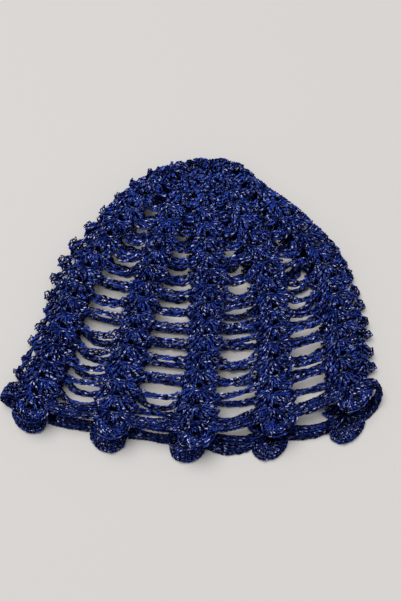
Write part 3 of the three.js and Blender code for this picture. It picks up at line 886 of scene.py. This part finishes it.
# The crown's copy of the same yarn is painted a lighter blue than the ribs': painted light.
CROWN_PAINTED_LIGHT_BLUE = (0.054, 0.142, 0.92)
SILVER_GLINT = (0.55, 0.60, 1.0)
CROWN_SEED = 11
CROWN_YARN_SEED = 1
CROWN_FINISH = yarn_finish("crown_yarn", PAINTED_SHADE_BLUE, CROWN_PAINTED_LIGHT_BLUE, SILVER_GLINT)
crown_rng = np.random.default_rng(CROWN_SEED)
crown_bundles = crown_middle(crown_rng)
for crown_row in range(1, CROWN_ROWS + 1):
    for crown_rib in range(1, RIBS + 1):
        crown_bundles += shell(crown_rib, crown_row, crown_rng)
        crown_bundles += row_chain(crown_rib, crown_row, crown_rng)
        crown_bundles += second_chain(crown_rib, crown_row, crown_rng)
crochet("crown_stitches", crown_bundles, ["crown"], CROWN_FINISH, CROWN_YARN_SEED)


# Each rib goes on from the crown as a column of shells, one to a row, in the same yarn, and carries the
# chains that hang from it to the next rib.
RIB_BLUE = (0.042, 0.104, 0.70)
RIB_SEED = 100
RIB_YARN_SEED = 20
RIB_FINISH = yarn_finish("rib_yarn", PAINTED_SHADE_BLUE, RIB_BLUE, SILVER_GLINT)
for rib in range(1, RIBS + 1):
    rib_node = f"rib_{rib:02d}"
    rib_rng = np.random.default_rng(RIB_SEED + rib)
    rib_bundles = []
    for row in range(CROWN_ROWS + 1, BAND_ROW + 1):
        rib_bundles += shell(rib, row, rib_rng)
        rib_bundles += row_chain(rib, row, rib_rng)
        rib_bundles += second_chain(rib, row, rib_rng)
    yarn_seed = RIB_YARN_SEED + rib
    crochet(f"{rib_node}_stitches", rib_bundles, [rib_node], RIB_FINISH, yarn_seed)


# The scallops are the last shells and, below each, a round fan of posts with a chain of loops round its
# edge. Between two of them the hem is a chain with a short post through every loop and a last chain.
# The hem's copy of the same yarn: its near-black end is painted shade, and its bright blue is darker than
# the ribs'.
HEM_PAINTED_SHADE_BLUE = (0.0002, 0.0006, 0.022)
HEM_BLUE = (0.031, 0.084, 0.60)
HEM_FINISH = yarn_finish("hem_yarn", HEM_PAINTED_SHADE_BLUE, HEM_BLUE, SILVER_GLINT)
FAN_POSTS = 13
FAN_SPREAD = math.radians(92)
FAN_LENGTH = 8.8
FAN_WIDER = 1.05
FAN_WRAPS = (0.4, 0.75, 1)
FAN_WRAP_HEIGHT = {"front": 0.4, "back": -1.3}
FAN_EDGE_SPREAD = FAN_SPREAD * 1.12
FAN_EDGE = FAN_LENGTH + 1.2
# FAN_EDGE_LIGHT is painted shade: the fan's edge chain is painted a little darker.
FAN_EDGE_LIGHT = 0.85
FAN_UNEVEN = 0.2
FAN_INNER_FEET = 0.2
FAN_EDGE_POINTS = 60
FAN_EDGE_HEIGHT = 0.5


def scallop(rib, rng):
    axis = rib - 0.5
    hole = row_reach(LAST_ROW)
    bundles = shell(rib, LAST_ROW, rng)
    angle = np.linspace(-FAN_SPREAD, FAN_SPREAD, FAN_POSTS)
    out = np.stack([np.sin(angle) * FAN_WIDER, np.cos(angle)], -1)
    down = np.array([0, hole])
    feet = down + out * HOLE_RADIUS
    tops = down + out * (FAN_LENGTH + rng.normal(0, FAN_UNEVEN, (FAN_POSTS, 1)))
    bundles += posts(axis, feet, tops, rng)
    bundles.append(inner_yarn(axis, down + out * FAN_INNER_FEET, down + out * FAN_LENGTH, rng))
    shown = FAN_WRAP_HEIGHT["back" if rib > FRONT_RIBS else "front"]
    for share in FAN_WRAPS:
        bundles.append((post_wraps(axis, feet, tops, share, shown, rng), YARN_RADIUS, 1))
    edge_angle = np.linspace(-FAN_EDGE_SPREAD, FAN_EDGE_SPREAD, FAN_EDGE_POINTS)
    reach = hole + FAN_EDGE * np.cos(edge_angle)
    turn = axis + FAN_EDGE * FAN_WIDER * np.sin(edge_angle) / turn_length(reach)
    edge = level_chain(turn, reach, FAN_EDGE_HEIGHT * shown, rng)
    bundles.append((edge, YARN_RADIUS, FAN_EDGE_LIGHT))
    turn, reach = shell_edge(rib, LAST_ROW)
    bundles.append((level_chain(turn, reach, EDGE_RAISED, rng, EDGE_OPENNESS), YARN_RADIUS, 1))
    return bundles


# The band is worked into the chains of the last row but one. BAND_POST_ROWS are its two rows of posts,
# from and to in parts of its depth, and BAND_CHAINS are its chains, their place in its depth and their
# height in parts of the side that shows, the outside at the front and the inside at the back. BAND_INNER
# is how far aside of the posts the foot and the top of each inner yarn lie.
CHAIN_RISE = 4.5
BAND_DROP = 2.6
BAND_HEIGHT = 12.7
BAND_TOP = row_reach(BAND_ROW) - CHAIN_RISE + BAND_DROP
BAND_BOTTOM = BAND_TOP + BAND_HEIGHT
BAND_MARGIN = 1.4
BAND_OVERLAP = 4.5
BAND_UPPER_DROOP = 0.8
BAND_UPPER_HEIGHT = 0.3
BAND_LOWER_HEIGHT = 0.2
BAND_POST_PITCH = 2.15
BAND_POST_LIFT = 0.1
BAND_POST_UNEVEN = 0.35
BAND_POST_ROWS = ((0, 0.55), (0.5, 1))
BAND_CHAINS = ((0.26, 0.6), (0.5, 0.7), (0.78, 0.7))
BAND_SHOWN_SIDE = {"front": 1, "back": -3.2}
# HEM_LIGHT is painted shade: the band's chains are painted darker.
HEM_LIGHT = 0.6
BAND_POINTS = 40
BAND_EARLY = 0.6
BAND_TOP_INSET = 0.2
BAND_FOOT_INSET = 0.4
BAND_INNER = ((0.4, 1.4), (1.6, 0))
HEM_SEED = 200
SCALLOP_YARN_SEED = 40
BAND_YARN_SEED = 60


def hem_band(rib, rng):
    axis = rib - 0.5
    share = np.linspace(0, 1, BAND_POINTS)
    sag = 4 * share * (1 - share)
    half = (half_rib(BAND_TOP) - BAND_OVERLAP) / turn_length(BAND_TOP)
    turns = axis + half + (1 - 2 * half) * share
    wide = float((turns[-1] - turns[0]) * turn_length(BAND_TOP))
    early = share**BAND_EARLY
    upper = BAND_TOP + BAND_MARGIN + BAND_UPPER_DROOP * CHAIN_DROOP * wide * 4 * early * (1 - early)
    lower = BAND_BOTTOM - BAND_MARGIN + LAY["hang"][rib - 1] * sag
    bundles = [(level_chain(turns, upper, BAND_UPPER_HEIGHT, rng), YARN_RADIUS, HEM_LIGHT)]
    count = round(wide / BAND_POST_PITCH)
    share_at = (np.arange(count) + 0.5) / count
    post_turn = np.interp(share_at, share, turns)
    for above, below in BAND_POST_ROWS:
        top = np.interp(share_at, share, upper + (lower - upper) * above) + BAND_TOP_INSET
        foot = np.interp(share_at, share, upper + (lower - upper) * below) - BAND_FOOT_INSET
        aside = rng.normal(0, BAND_POST_UNEVEN, count)
        feet = np.stack([(post_turn - axis) * turn_length(top), top], -1)
        tops = np.stack([(post_turn - axis) * turn_length(foot) + aside, foot], -1)
        bundles += posts(axis, feet, tops, rng, BAND_POST_LIFT)
        for foot_aside, top_aside in BAND_INNER:
            bundles.append(inner_yarn(axis, feet + (foot_aside, 0), tops + (top_aside, 0), rng))
    shown = BAND_SHOWN_SIDE["back" if rib > FRONT_RIBS else "front"]
    chains = [(below, height * shown) for below, height in BAND_CHAINS] + [(1, BAND_LOWER_HEIGHT)]
    for below, height in chains:
        reach = upper + (lower - upper) * below
        bundles.append((level_chain(turns, reach, height, rng), YARN_RADIUS, HEM_LIGHT))
    return bundles


for rib in range(1, RIBS + 1):
    hem_rng = np.random.default_rng(HEM_SEED + rib)
    scallop_node = f"scallop_{rib:02d}"
    fan = scallop(rib, hem_rng)
    yarn_seed = SCALLOP_YARN_SEED + rib
    crochet(f"{scallop_node}_stitches", fan, [scallop_node], HEM_FINISH, yarn_seed)
    band_node = f"hem_band_{rib:02d}"
    band = hem_band(rib, hem_rng)
    yarn_seed = BAND_YARN_SEED + rib
    crochet(f"{band_node}_stitches", band, [band_node], HEM_FINISH, yarn_seed)
